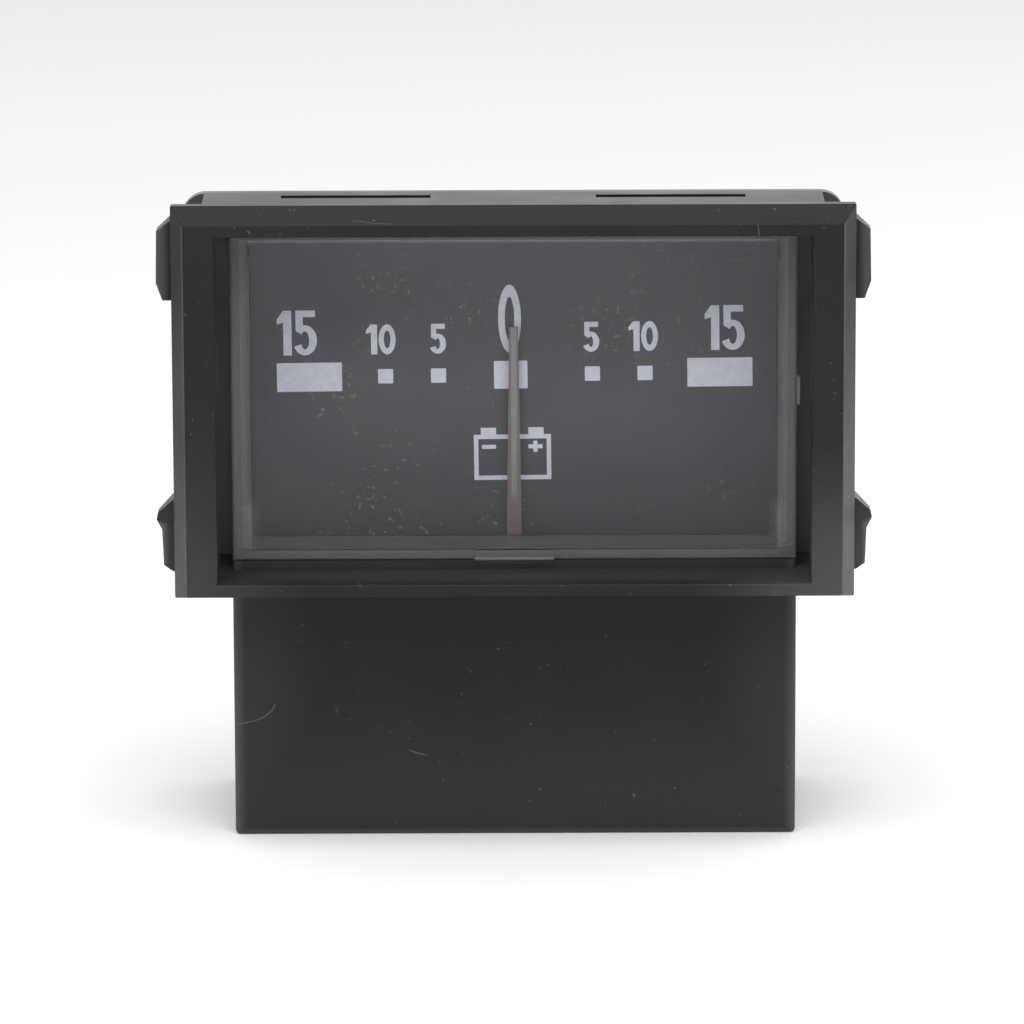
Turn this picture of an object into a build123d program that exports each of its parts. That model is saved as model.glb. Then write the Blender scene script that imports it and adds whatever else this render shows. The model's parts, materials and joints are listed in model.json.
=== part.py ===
"""Centre-zero battery current gauge that snaps into a panel.

A bevelled front frame with a sleeve carries four snap catches. A moulded housing hangs from
the sleeve. Its upper half is closed by a clear box-shaped lens in front of the dial, and its
lower half hides the moving-magnet movement. Two blade terminals leave through the rear cover.

Axes: +X to the right seen from the front, +Y to the rear, +Z up. The origin is under the
middle of the gauge, at the bottom of the housing. Sizes are in millimetres. A "depth" is
measured to the rear from the frame's front face.
"""

import os
from math import cos, radians, sin
from build123d import *

# ---------------------------------------------------------------- driving dimensions
# front frame
frame_width = 66.2        # flat front face, between the bevels
frame_height = 38.1       # flat front face
opening_width = 60.0
front_bar = 1.25          # bar above and below the opening
bevel_run = 1.4           # how far the bevel spreads, at the top and both sides
bevel_below = 0.85        # how far it spreads below the frame
bevel_depth = 3.8
rim_depth = 1.2           # straight edge behind the bevel
edge_round = 0.18         # small rounding of the bezel's edges
floor_depth = 7.5         # how far the wall below the opening runs back

# sleeve behind the frame
sleeve_end = 15.0         # depth of its rear edge
sleeve_wall = 1.2
sleeve_step = 0.6         # the sides stand in from the rim by this much
sleeve_top_step = 0.5     # the same at the top
sleeve_corner = 2.5       # outer corner radius
top_wall_half = 31.5      # the top wall ends here; the corners beyond are open
slot_length = 15.2        # latch slots in the top wall
slot_width = 1.7
slot_spacing = 32.0       # between the two slots' centres
slot_depth = 12.15        # depth of the slots' centre line

# lens
lens_recess = 8.0         # depth of the lens and housing fronts
lens_length = 7.7         # front to rear
lens_wall = 1.0
lens_side_gap = 1.2       # between lens and opening
lens_end_gap = 0.8        # the same above and below
corner_pad = 1.6          # width of the pads in the lens's lower corners
lens_lug_width = 8.1
lens_lug_height = 2.9
lens_lug_drop = 0.3       # how far the lug reaches below the lens
lens_lug_thickness = 0.3

# housing
housing_below_frame = 26.8
housing_end = 31.0        # depth of the open rear
housing_wall = 1.3
housing_corner = 0.5      # rounding of the two lower corners
front_round = 0.45        # rounding of the front edges
lip_thickness = 0.7       # lip behind the lens's floor, which hides the pointer's root
flange_thickness = 1.6    # plate that closes the rear of the sleeve around the lens
flange_step = 0.1         # the flange stands in from the sleeve's outside by this much
guide_arm_length = 3.5    # arms on the flange that steady the sleeve's sides
cover_thickness = 1.5

# movement
pivot_height = 17.3
pointer_length = 34.2
pointer_root_width = 1.9
pointer_tip_width = 0.9
pointer_sheet = 0.4
tail_length = 9.2
pointer_swing = 38.0      # to each side of zero, degrees
spindle_radius = 0.6
armature_radius = 3.4
armature_thickness = 2.0
hub_radius = 2.2
hub_thickness = 1.5
weight_radius = 1.5
weight_thickness = 2.0
weight_offset = 7.2       # below the spindle
dial_thickness = 0.5
spacer_thickness = 0.7
bracket_sheet = 1.0
bracket_half_width = 22.0
bearing_radius = 1.8
bearing_length = 3.0

# fastenings and electrical pieces
screw_radius = 1.0
screw_head_radius = 2.0
screw_head = 1.1
screw_length = 6.0
boss_radius = 2.6
pillar_radius = 2.2
strap_thickness = 1.2
strap_width = 4.0
strap_below_pivot = 7.2
terminal_width = 6.3
terminal_thickness = 0.8
terminal_reach = 8.0      # behind the rear cover
rivet_radius = 1.2

# snap catches
catch_leaf = 0.9
catch_reach = 2.0         # the most that a nose stands out from the rim
catch_front = 6.3         # depth of the catching face
catch_pivot_depth = 13.5
catch_barrel_radius = 0.6
catch_swing = 17.0        # inwards, degrees
upper_catch_drop = 1.4    # top of the upper catches below the sleeve's top
upper_catch_height = 8.2
lower_catch_rise = 1.3    # bottom of the lower catches above the sleeve's bottom
lower_catch_height = 7.6
pad_rise = 0.5            # the pads reach past the ends of a catch's barrel by this much

# named clearances
running_gap = 0.05        # radial, between a shaft and its bore
screw_gap = 0.02          # radial, between a screw and its hole
moving_gap = 0.4          # between pointer and its neighbours
leaf_gap = 0.3            # around a catch in its window
slot_gap = 0.15           # around a latch tooth or a terminal in its slot

# ---------------------------------------------------------------- derived places
frame_bottom = housing_below_frame
frame_top = frame_bottom + frame_height
opening_bottom = frame_bottom + front_bar
opening_top = frame_top - front_bar
rim_end = bevel_depth + rim_depth
rim_half = frame_width / 2 + bevel_run
rim_top = frame_top + bevel_run
rim_bottom = frame_bottom - bevel_below
sleeve_half = rim_half - sleeve_step
sleeve_top = rim_top - sleeve_top_step
sleeve_inner_half = sleeve_half - sleeve_wall
lens_half = opening_width / 2 - lens_side_gap
lens_bottom = opening_bottom + lens_end_gap
lens_top = opening_top - lens_end_gap
lens_end = lens_recess + lens_length
cavity_half = lens_half - housing_wall
cavity_front = lens_recess + housing_wall
cover_end = housing_end + cover_thickness
overall_depth = cover_end + terminal_reach

pointer_front = lens_end + moving_gap
pointer_back = pointer_front + pointer_sheet
dial_front = pointer_back + 2 * moving_gap
dial_back = dial_front + dial_thickness
bracket_front = dial_back + spacer_thickness
bracket_back = bracket_front + bracket_sheet
boss_front = bracket_back
hub_front = pointer_front - hub_thickness
front_bearing_end = hub_front - moving_gap - 1.3
front_bearing_start = front_bearing_end - bearing_length
armature_front = bracket_back + 5 * moving_gap
armature_back = armature_front + armature_thickness
bridge_front = armature_back + 4 * moving_gap + 0.5
bridge_back = bridge_front + bracket_sheet
rear_bearing_start = bridge_front - 1.0
rear_bearing_end = rear_bearing_start + bearing_length
spindle_front = front_bearing_start + 1.4
spindle_back = rear_bearing_end - 1.4
strap_bottom = pivot_height - strap_below_pivot
strap_top = strap_bottom + strap_thickness
strap_front = bracket_back + 1.5
foot_back = housing_end - terminal_thickness
foot_front = foot_back - strap_thickness
terminal_x = 14.0
terminal_middle = strap_bottom + 4.35
pillar_x = 18.0
pillar_height = pivot_height + 7.7
dial_screw_height = pivot_height - 5.3
catch_barrel_x = sleeve_half - catch_leaf
SIDES = {"left": -1, "right": 1}


# ---------------------------------------------------------------- helpers
def y_at(depth):
    """Y of a depth behind the frame's front face."""
    return depth - overall_depth / 2


def block(x0, x1, depth0, depth1, z0, z1):
    """Box between two corners, whichever way round each pair is given."""
    middle = Pos((x0 + x1) / 2, y_at((depth0 + depth1) / 2), (z0 + z1) / 2)
    return middle * Box(abs(x1 - x0), abs(depth1 - depth0), abs(z1 - z0))


def slab(half_width, depth0, depth1, z0, z1):
    """Box that lies evenly about the middle of the gauge."""
    return block(-half_width, half_width, depth0, depth1, z0, z1)


def extruded(face, depth0, depth1):
    """A face drawn in X and Z, extruded from one depth to another."""
    return Pos(0, y_at(depth1), 0) * Rot(90, 0, 0) * extrude(face, depth1 - depth0)


def rod(radius, depth0, depth1, x, z):
    """Cylinder along Y."""
    return extruded(Pos(x, z) * Circle(radius), depth0, depth1)


def tube(radius, bore, depth0, depth1, x, z):
    """Round spacer along Y."""
    return rod(radius, depth0, depth1, x, z) - rod(bore, depth0, depth1, x, z)


def crossed(screw, x, z, outer, depth_of_cross):
    """Cut the cross recess into the screw's outer face."""
    inner = outer + depth_of_cross
    arm = 2 * screw_head_radius * 0.32
    slit = 0.22
    upright = block(x - slit, x + slit, outer, inner, z - arm, z + arm)
    level = block(x - arm, x + arm, outer, inner, z - slit, z + slit)
    return screw - upright - level


# ---------------------------------------------------------------- outer pieces
def sleeve_profile(inset):
    """Sleeve outline with rounded upper corners, drawn in from the outside by inset."""
    half = sleeve_half - inset
    top = sleeve_top - inset
    radius = sleeve_corner - inset
    outline = Pos(0, (frame_bottom + top) / 2) * Rectangle(2 * half, top - frame_bottom)
    upper = outline.vertices().sort_by(Axis.Y)[-2:]
    return fillet(upper, radius)


def catch_places():
    """Bottom and top of the upper and lower catches."""
    upper_top = sleeve_top - upper_catch_drop
    lower_bottom = frame_bottom + lower_catch_rise
    upper = (upper_top - upper_catch_height, upper_top)
    lower = (lower_bottom, lower_bottom + lower_catch_height)
    return {"upper": upper, "lower": lower}


def leaf_span(bottom, top):
    """The leaf behind a catch's nose is shorter than the nose at both ends."""
    return bottom + 0.6, top - 1.5


def catch_window(side, bottom, top):
    """Space a catch needs in the sleeve's side wall."""
    leaf_bottom, leaf_top = leaf_span(bottom, top)
    swing = radians(catch_swing)
    arm = catch_pivot_depth - catch_front
    inner = side * (sleeve_inner_half - arm * sin(swing))
    outer = side * (rim_half + 3)
    forwards = (rim_half + catch_reach - catch_barrel_x) * sin(swing) - arm * (1 - cos(swing))
    front = catch_front - forwards - leaf_gap / 2
    step = catch_pivot_depth - 2 * catch_barrel_radius
    back = catch_pivot_depth + catch_barrel_radius + leaf_gap
    nose = block(inner, outer, front, step, bottom - leaf_gap, top + leaf_gap)
    leaf = block(inner, outer, step, back, leaf_bottom - leaf_gap, leaf_top + leaf_gap)
    return nose + leaf


def barrel_span(bottom, top):
    """The barrel runs a little past the leaf at both ends."""
    leaf_bottom, leaf_top = leaf_span(bottom, top)
    return leaf_bottom - 0.7, leaf_top + 0.7


def barrel(side, radius, bottom, top):
    """Upright cylinder on a catch's hinge axis."""
    middle = Pos(side * catch_barrel_x, y_at(catch_pivot_depth), (bottom + top) / 2)
    return middle * Cylinder(radius, top - bottom)


def catch_pads(side, bottom, top):
    """Thicker wall above and below the window, which holds the barrel's ends."""
    low, high = barrel_span(bottom, top)
    reach = catch_barrel_radius + 0.9
    x0 = side * (catch_barrel_x - catch_barrel_radius - 0.7)
    x1 = side * sleeve_half
    depths = (catch_pivot_depth - reach, catch_pivot_depth + reach)
    lower = block(x0, x1, *depths, low - pad_rise, low + pad_rise)
    upper = block(x0, x1, *depths, high - pad_rise, high + pad_rise)
    return lower + upper


def corner_notch(side):
    """Open corner of the sleeve between the top wall's end and the upper catch's pad."""
    upper_pad_top = barrel_span(*catch_places()["upper"])[1] + pad_rise
    inner = side * top_wall_half
    outer = side * (sleeve_half + 1)
    return block(inner, outer, rim_end, sleeve_end + 1, upper_pad_top, sleeve_top + 1)


def latch_slot_centres():
    """X of the two latch slots."""
    return (-slot_spacing / 2, slot_spacing / 2)


def front_frame():
    """Bezel, floor below the opening, and sleeve with latch slots and catch windows."""
    front = Pos(0, (frame_bottom + frame_top) / 2) * Rectangle(frame_width, frame_height)
    rear = Pos(0, (rim_bottom + rim_top) / 2) * Rectangle(2 * rim_half, rim_top - rim_bottom)
    front_plane = Pos(0, y_at(0), 0) * Rot(90, 0, 0) * front
    rear_plane = Pos(0, y_at(bevel_depth), 0) * Rot(90, 0, 0) * rear
    rim = slab(rim_half, bevel_depth, rim_end, rim_bottom, rim_top)
    bezel = loft([front_plane, rear_plane]) + rim
    rear_edges = bezel.faces().sort_by(Axis.Y)[-1].edges()
    bezel = fillet([edge for edge in bezel.edges() if edge not in rear_edges], edge_round)
    bezel -= slab(opening_width / 2, -1, rim_end + 1, opening_bottom, opening_top)
    rings = bezel.faces().sort_by(Axis.Y)[0].inner_wires()
    bezel = fillet(rings[0].edges(), edge_round)
    outer = extruded(sleeve_profile(0), rim_end - 1, sleeve_end)
    hollow = extruded(sleeve_profile(sleeve_wall), rim_end, sleeve_end + 1)
    below = (frame_bottom - 1, frame_bottom + sleeve_wall + 1)
    open_below = slab(sleeve_inner_half, rim_end, sleeve_end + 1, *below)
    pads = [
        catch_pads(side, *span)
        for side in SIDES.values()
        for span in catch_places().values()
    ]
    inside_only = extruded(sleeve_profile(0), rim_end, sleeve_end)
    body = bezel + (outer - hollow - open_below) + [pad & inside_only for pad in pads]
    body += slab(sleeve_inner_half + sleeve_wall / 2, 0.5, floor_depth, frame_bottom, opening_bottom)
    for side in SIDES.values():
        outer = side * (sleeve_half - sleeve_wall / 2)
        body += block(side * lens_half, outer, floor_depth - 1, sleeve_end, frame_bottom, opening_bottom)
    body -= slab(opening_width / 2, -1, rim_end + 1, opening_bottom, opening_top)
    for x in latch_slot_centres():
        half = slot_length / 2
        front_edge = slot_depth - slot_width / 2
        back_edge = slot_depth + slot_width / 2
        body -= block(x - half, x + half, front_edge, back_edge, sleeve_top - 2, sleeve_top + 1)
    for side in SIDES.values():
        body -= corner_notch(side)
        for bottom, top in catch_places().values():
            low, high = barrel_span(bottom, top)
            bore = catch_barrel_radius + running_gap
            body -= catch_window(side, bottom, top)
            body -= barrel(side, bore, low - 0.2, high + 0.2)
    return body


def nose_outline(place):
    """Catch nose seen from the front, as steps out from the rim and heights from its bottom."""
    if place == "upper":
        height = upper_catch_height
        return [(0.0, 0.0), (1.0, 0.0), (1.65, 1.8), (1.55, height - 1.1), (0.1, height), (0.0, height)]
    height = lower_catch_height
    lip = [(1.35, height - 3.2), (1.9, height - 2.1), (1.75, height - 1.4), (0.1, height)]
    return [(0.0, 0.0), (0.4, 0.15), (1.0, 0.6), (1.2, 0.7)] + lip + [(0.0, height)]


def catch(side, place):
    """Snap catch: ramped nose on a leaf that turns about a barrel at its rear end."""
    bottom, top = catch_places()[place]
    leaf_bottom, leaf_top = leaf_span(bottom, top)
    inner = sleeve_half - catch_leaf
    points = [(inner, bottom)]
    points += [(rim_half + out, bottom + up) for out, up in nose_outline(place)]
    points += [(inner, top)]
    nose_end = catch_pivot_depth - 3 * catch_barrel_radius
    nose = extruded(make_face(Polyline(*points, close=True)), catch_front, nose_end)
    tip = rim_half + catch_reach
    ramp = [
        (inner, y_at(catch_front)),
        (tip, y_at(catch_front)),
        (tip, y_at(catch_front + 1.5)),
        (sleeve_half, y_at(nose_end)),
        (inner, y_at(nose_end)),
    ]
    wedge = Pos(0, 0, bottom) * extrude(make_face(Polyline(*ramp, close=True)), top - bottom)
    leaf = block(inner, sleeve_half - 0.1, catch_front, catch_pivot_depth, leaf_bottom, leaf_top)
    piece = (nose & wedge) + leaf
    if side < 0:
        piece = mirror(piece, Plane.YZ)
    low, high = barrel_span(bottom, top)
    return piece + barrel(side, catch_barrel_radius, low, high)


def lip_half():
    """Half length of the housing's lip, which stands between the lens's two corner pads."""
    return lens_half - lens_wall - corner_pad - slot_gap


def lens():
    """Clear box, open at the rear, with a lug, two corner pads and a gate stub.

    Its floor stops short of its other walls, to leave room for the housing's lip.
    """
    outer = slab(lens_half, lens_recess, lens_end, lens_bottom, lens_top)
    front_edges = outer.faces().sort_by(Axis.Y)[0].edges()
    outer = fillet(front_edges, 0.3)
    bottom = lens_bottom + lens_wall
    hollow = slab(lens_half - lens_wall, lens_recess + lens_wall, lens_end + 1, bottom, lens_top - lens_wall)
    piece = outer - hollow
    lug_bottom = lens_bottom - lens_lug_drop
    lug_front = lens_recess - lens_lug_thickness
    lug = slab(lens_lug_width / 2, lug_front, lens_recess, lug_bottom, lug_bottom + lens_lug_height)
    piece += lug
    for side in SIDES.values():
        inner = side * (lens_half - lens_wall - corner_pad)
        outside = side * (lens_half - lens_wall / 2)
        piece += block(inner, outside, lens_end - 2, lens_end, lens_bottom + 0.5, bottom + 3.6)
    piece -= slab(lip_half() + slot_gap, lens_end - lip_thickness, lens_end + 1, lens_bottom, bottom)
    middle = (lens_bottom + lens_top) / 2
    stub_depths = (lens_recess + 0.4, lens_recess + 1.6)
    return piece + block(lens_half - 0.1, lens_half + 0.3, *stub_depths, middle - 1, middle + 1.8)


def cover_screw_places():
    """X and Z of the four corner screws."""
    x = cavity_half - boss_radius - 0.2
    heights = (housing_wall + boss_radius + 0.3, lens_top - housing_wall - boss_radius - 0.3)
    return [(side * x, z) for side in (-1, 1) for z in heights]


def latch_tongue(x):
    """Tongue that reaches forwards over the lens and stands up in a latch slot."""
    half = slot_length / 2 - slot_gap
    front_edge = slot_depth - slot_width / 2 + slot_gap
    back_edge = slot_depth + slot_width / 2 - slot_gap
    low = lens_top + 0.2
    high = sleeve_top - sleeve_wall - slot_gap
    root = block(x - half + 1, x + half - 1, lens_end, lens_end + 2.4, lens_top - housing_wall, high)
    arm = block(x - half + 1, x + half - 1, front_edge, lens_end + 1, low, high)
    tooth = block(x - half, x + half, front_edge, back_edge, low, sleeve_top - 2 * slot_gap)
    return root + arm + tooth


def guide_arm(side):
    """Short arm in front of the flange that bears on the inside of the sleeve's side wall."""
    middle = (lens_bottom + lens_top) / 2
    outer = side * sleeve_inner_half
    inner = side * (sleeve_inner_half - housing_wall)
    start = sleeve_end - guide_arm_length
    return block(outer, inner, start, sleeve_end + 0.1, middle - 2, middle + 2)


def flange():
    """Plate around the lens's rear end that closes the sleeve and stops against its edge."""
    plate = extruded(sleeve_profile(flange_step), sleeve_end, sleeve_end + flange_thickness)
    return plate - slab(lens_half + slot_gap, sleeve_end, lens_end, lens_bottom, lens_top + slot_gap)


def housing():
    """Case with its rear open: full depth below the lens, and behind the lens above it."""
    shell = slab(lens_half, lens_recess, housing_end, 0, lens_bottom)
    low_edges = shell.edges().filter_by(Axis.Y).sort_by(Axis.Z)[:2]
    shell = fillet(low_edges, housing_corner)
    front_edges = shell.faces().sort_by(Axis.Y)[0].edges()
    shell = fillet([edge for edge in front_edges if edge.center().Z < lens_bottom - 0.1], front_round)
    shell += slab(lens_half, lens_end, housing_end, lens_bottom - 1, lens_top)
    shell += flange()
    upper = slab(cavity_half, lens_end, housing_end + 1, housing_wall, lens_top - housing_wall)
    lower = slab(cavity_half, cavity_front, lens_end + 1, housing_wall, lens_bottom - housing_wall)
    shell = shell - upper - lower
    shell += slab(lip_half(), lens_end - lip_thickness, lens_end, lens_bottom - 1, lens_bottom + lens_wall)
    shell += rod(bearing_radius + 2.2, cavity_front - 0.1, front_bearing_end - 0.4, 0, pivot_height)
    shell -= rod(bearing_radius, front_bearing_start, housing_end, 0, pivot_height)
    for x, z in cover_screw_places():
        wall_x = (cavity_half + housing_wall / 2) * (1 if x > 0 else -1)
        wall_z = housing_wall / 2 if z < pivot_height else lens_top - housing_wall / 2
        rib = 0.8
        shell += rod(boss_radius, boss_front, housing_end, x, z)
        shell += block(x, wall_x, boss_front, housing_end, z - rib, z + rib)
        shell += block(x - rib, x + rib, boss_front, housing_end, z, wall_z)
        shell -= rod(screw_radius + screw_gap, housing_end - screw_length, housing_end, x, z)
    for x in latch_slot_centres():
        shell += latch_tongue(x)
    for side in SIDES.values():
        shell += guide_arm(side)
    return shell


def rear_cover():
    """Plate over the open rear, with holes for the screws, rivets and blade terminals."""
    plate = slab(lens_half, housing_end, cover_end, 0, lens_top)
    rear_edges = plate.faces().sort_by(Axis.Y)[-1].edges()
    plate = chamfer(rear_edges, 0.4)
    for x, z in cover_screw_places():
        plate -= rod(screw_radius + 5 * screw_gap, housing_end, cover_end, x, z)
    for side in SIDES.values():
        plate -= rod(screw_radius + 5 * screw_gap, housing_end, cover_end, side * pillar_x, pillar_height)
        plate -= rod(rivet_radius + screw_gap, housing_end, cover_end, side * terminal_x, terminal_middle)
        inner, outer, low, high = blade_section(side)
        plate -= block(
            inner - side * slot_gap, outer + side * slot_gap, housing_end - 1, cover_end + 1,
            low - slot_gap, high + slot_gap,
        )
    return plate


# ---------------------------------------------------------------- dial and pointer
def dial_plate():
    """Flat dial with a hole for the spindle, screws, screw heads and stops."""
    edge_gap = 0.4
    top = lens_top - housing_wall - edge_gap
    plate = slab(cavity_half - edge_gap, dial_front, dial_back, pivot_height - 9, top)
    plate -= rod(bearing_radius + 1.2, dial_front, dial_back, 0, pivot_height)
    for side in SIDES.values():
        plate -= rod(screw_radius + screw_gap, dial_front, dial_back, side * pillar_x, dial_screw_height)
        plate -= rod(screw_head_radius + 0.3, dial_front, dial_back, side * pillar_x, pillar_height)
        plate -= rod(0.5, dial_front, dial_back, *stop_place(side))
    return plate


def stop_place(side):
    """A stop pin stands where the pointer's edge meets it just past the end of its swing."""
    reach = 9.0
    half_width = pointer_root_width / 2
    angle = radians(pointer_swing) + (half_width + 0.5 + running_gap) / reach
    return side * reach * sin(angle), pivot_height + reach * cos(angle)


def pointer_stops():
    """Two pins pressed into the dial."""
    start = pointer_front - moving_gap
    return [rod(0.5, start, dial_back, *stop_place(side)) for side in SIDES.values()]


def dial_spacers():
    """Washers between the dial and the bracket."""
    bore = screw_radius + screw_gap
    return [
        tube(screw_head_radius, bore, dial_back, bracket_front, side * pillar_x, dial_screw_height)
        for side in SIDES.values()
    ]


def dial_screws():
    """Screws through the dial into the bracket, below the visible part."""
    start = dial_front - screw_head
    screws = []
    for side in SIDES.values():
        x = side * pillar_x
        head = rod(screw_head_radius, start, dial_front, x, dial_screw_height)
        shank = rod(screw_radius, dial_front, bracket_back + 1, x, dial_screw_height)
        screws.append(crossed(head + shank, x, dial_screw_height, start, 0.5))
    return screws


def pointer_blade():
    """Tapered sheet pointer with a round eye and a tail that carries the weight."""
    root = pointer_root_width / 2
    tip = pointer_tip_width / 2
    top = pivot_height + pointer_length
    corners = [(-root, pivot_height), (-tip, top), (tip, top), (root, pivot_height)]
    blade = make_face(Polyline(*corners, close=True))
    tail = Pos(0, pivot_height - tail_length / 2) * Rectangle(pointer_root_width, tail_length)
    eye = Pos(0, pivot_height) * Circle(hub_radius)
    outline = blade + tail + eye - Pos(0, pivot_height) * Circle(spindle_radius)
    return extruded(outline, pointer_front, pointer_back)


def pointer_hub():
    """Bush that holds the pointer on the spindle."""
    return tube(hub_radius, spindle_radius, hub_front, pointer_front, 0, pivot_height)


def balance_weight():
    """Weight on the pointer's tail that balances the blade."""
    height = pivot_height - weight_offset
    return rod(weight_radius, pointer_front - weight_thickness, pointer_front, 0, height)


def spindle():
    """Steel shaft with tapered ends."""
    shaft = rod(spindle_radius, spindle_front, spindle_back, 0, pivot_height)
    return chamfer(shaft.edges().filter_by(GeomType.CIRCLE), 0.3)


def armature():
    """Magnet disc on the spindle."""
    return tube(armature_radius, spindle_radius, armature_front, armature_back, 0, pivot_height)


# ---------------------------------------------------------------- movement
def bracket_leg_x():
    """Inner face of the bracket's legs, clear of the armature."""
    return armature_radius + 6


def movement_bracket():
    """Plate with two legs and a bridge that carries the rear bearing."""
    low = pivot_height - 8.3
    plate = slab(bracket_half_width, bracket_front, bracket_back, low, pillar_height + pillar_radius + 1.5)
    leg_low = pivot_height - 4
    leg_high = pivot_height + 4
    inner = bracket_leg_x()
    outer = inner + bracket_sheet
    for side in SIDES.values():
        plate += block(side * inner, side * outer, bracket_front, bridge_back, leg_low, leg_high)
    plate += slab(outer, bridge_front, bridge_back, leg_low, leg_high)
    plate -= rod(spindle_radius + 1, bracket_front, bracket_back, 0, pivot_height)
    plate -= rod(bearing_radius, bridge_front, bridge_back, 0, pivot_height)
    for side in SIDES.values():
        for height in (dial_screw_height, pillar_height):
            hole = rod(screw_radius + screw_gap, bracket_front, bracket_back, side * pillar_x, height)
            plate -= hole
    return plate


def front_bearing():
    """Cup in the housing's boss, open to the rear."""
    cup = rod(bearing_radius, front_bearing_start, front_bearing_end, 0, pivot_height)
    bore = spindle_radius + running_gap
    return cup - rod(bore, spindle_front - 0.1, front_bearing_end, 0, pivot_height)


def rear_bearing():
    """Cup in the bridge, open to the front."""
    cup = rod(bearing_radius, rear_bearing_start, rear_bearing_end, 0, pivot_height)
    bore = spindle_radius + running_gap
    return cup - rod(bore, rear_bearing_start, spindle_back + 0.1, 0, pivot_height)


def control_magnet():
    """Block magnet above the armature that pulls the pointer back to zero."""
    low = pivot_height + armature_radius + 1.6
    return slab(5, bracket_back, bracket_back + 5, low, low + 4)


def current_strap():
    """Copper strip under the armature, with arms to the rear and upturned feet."""
    half = terminal_x + strap_width / 2
    bar = slab(half, strap_front, strap_front + strap_width, strap_bottom, strap_top)
    for side in SIDES.values():
        inner = side * (terminal_x - strap_width / 2)
        outer = side * half
        bar += block(inner, outer, strap_front, foot_back, strap_bottom, strap_top)
        bar += block(inner, outer, foot_front, foot_back, strap_bottom, strap_bottom + 7)
        bar -= rod(rivet_radius + screw_gap, foot_front, foot_back, side * terminal_x, terminal_middle)
    return bar


def strap_carrier():
    """Plastic block between the bracket and the strap."""
    high = pivot_height - armature_radius - moving_gap - 0.3
    return slab(6, bracket_back, strap_front + strap_width, strap_top, high)


def blade_section(side):
    """Inner and outer X, bottom and top of a blade terminal."""
    inner = side * (terminal_x + strap_width / 2 + 1.5)
    outer = inner + side * terminal_thickness
    return inner, outer, terminal_middle - terminal_width / 2, terminal_middle + terminal_width / 2


def blade_terminal(side):
    """Push-on blade with a foot inside the cover."""
    inner, outer, low, high = blade_section(side)
    foot = block(side * (terminal_x - 2.4), outer, foot_back, housing_end, low, high)
    foot -= rod(rivet_radius + screw_gap, foot_back, housing_end, side * terminal_x, terminal_middle)
    blade = block(inner, outer, foot_back, overall_depth, low, high)
    tip_edges = blade.faces().sort_by(Axis.Y)[-1].edges().filter_by(Axis.X)
    blade = chamfer(tip_edges, 1.0)
    middle = Pos((inner + outer) / 2, y_at(overall_depth - 3.4), terminal_middle)
    hole = middle * Rot(0, 90, 0) * Cylinder(0.85, 3)
    return foot + (blade - hole)


def terminal_rivets():
    """Rivets that hold strap, terminal and cover together."""
    rivets = []
    for side in SIDES.values():
        x = side * terminal_x
        shank = rod(rivet_radius, foot_front, cover_end, x, terminal_middle)
        inner_head = rod(rivet_radius + 0.7, foot_front - 0.6, foot_front, x, terminal_middle)
        outer_head = rod(rivet_radius + 0.7, cover_end, cover_end + 0.6, x, terminal_middle)
        rivets.append(shank + inner_head + outer_head)
    return rivets


def pillars():
    """Round pillars from the bracket to the rear cover."""
    bore = screw_radius + screw_gap
    return [
        tube(pillar_radius, bore, bracket_back, housing_end, side * pillar_x, pillar_height)
        for side in SIDES.values()
    ]


def bracket_screws():
    """Screws through the bracket into the pillars' front ends."""
    start = bracket_front - screw_head
    screws = []
    for side in SIDES.values():
        x = side * pillar_x
        head = rod(screw_head_radius, start, bracket_front, x, pillar_height)
        shank = rod(screw_radius, bracket_front, bracket_back + 3.5, x, pillar_height)
        screws.append(crossed(head + shank, x, pillar_height, start, 0.5))
    return screws


def rear_screw(x, z):
    """Pan screw with its head on the rear cover."""
    head = rod(screw_head_radius, cover_end, cover_end + screw_head, x, z)
    shank = rod(screw_radius, cover_end - screw_length, cover_end, x, z)
    outer = cover_end + screw_head
    return crossed(head + shank, x, z, outer, -0.5)


def pillar_screws():
    """Screws through the rear cover into the pillars."""
    return [rear_screw(side * pillar_x, pillar_height) for side in SIDES.values()]


def cover_screws():
    """Four screws at the cover's corners."""
    return [rear_screw(x, z) for x, z in cover_screw_places()]


# ---------------------------------------------------------------- every node
nodes = {
    "front_frame": front_frame(),
    "lens": lens(),
    "housing": housing(),
    "rear_cover": rear_cover(),
    "cover_screws": cover_screws(),
    "dial_plate": dial_plate(),
    "pointer_stops": pointer_stops(),
    "dial_spacers": dial_spacers(),
    "dial_screws": dial_screws(),
    "pointer_blade": pointer_blade(),
    "pointer_hub": pointer_hub(),
    "balance_weight": balance_weight(),
    "spindle": spindle(),
    "armature": armature(),
    "movement_bracket": movement_bracket(),
    "front_bearing": front_bearing(),
    "rear_bearing": rear_bearing(),
    "control_magnet": control_magnet(),
    "current_strap": current_strap(),
    "strap_carrier": strap_carrier(),
    "terminal_rivets": terminal_rivets(),
    "pillars": pillars(),
    "bracket_screws": bracket_screws(),
    "pillar_screws": pillar_screws(),
}
for side_name, side in SIDES.items():
    nodes[f"terminal_{side_name}"] = blade_terminal(side)
    for place in catch_places():
        nodes[f"catch_{place}_{side_name}"] = catch(side, place)

os.makedirs("parts", exist_ok=True)
for name, shape in nodes.items():
    solids = shape if isinstance(shape, list) else shape.solids()
    group = [solid for piece in solids for solid in piece.solids()]
    export_step(Compound(children=group) if len(group) > 1 else group[0], f"parts/{name}.step")
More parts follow.
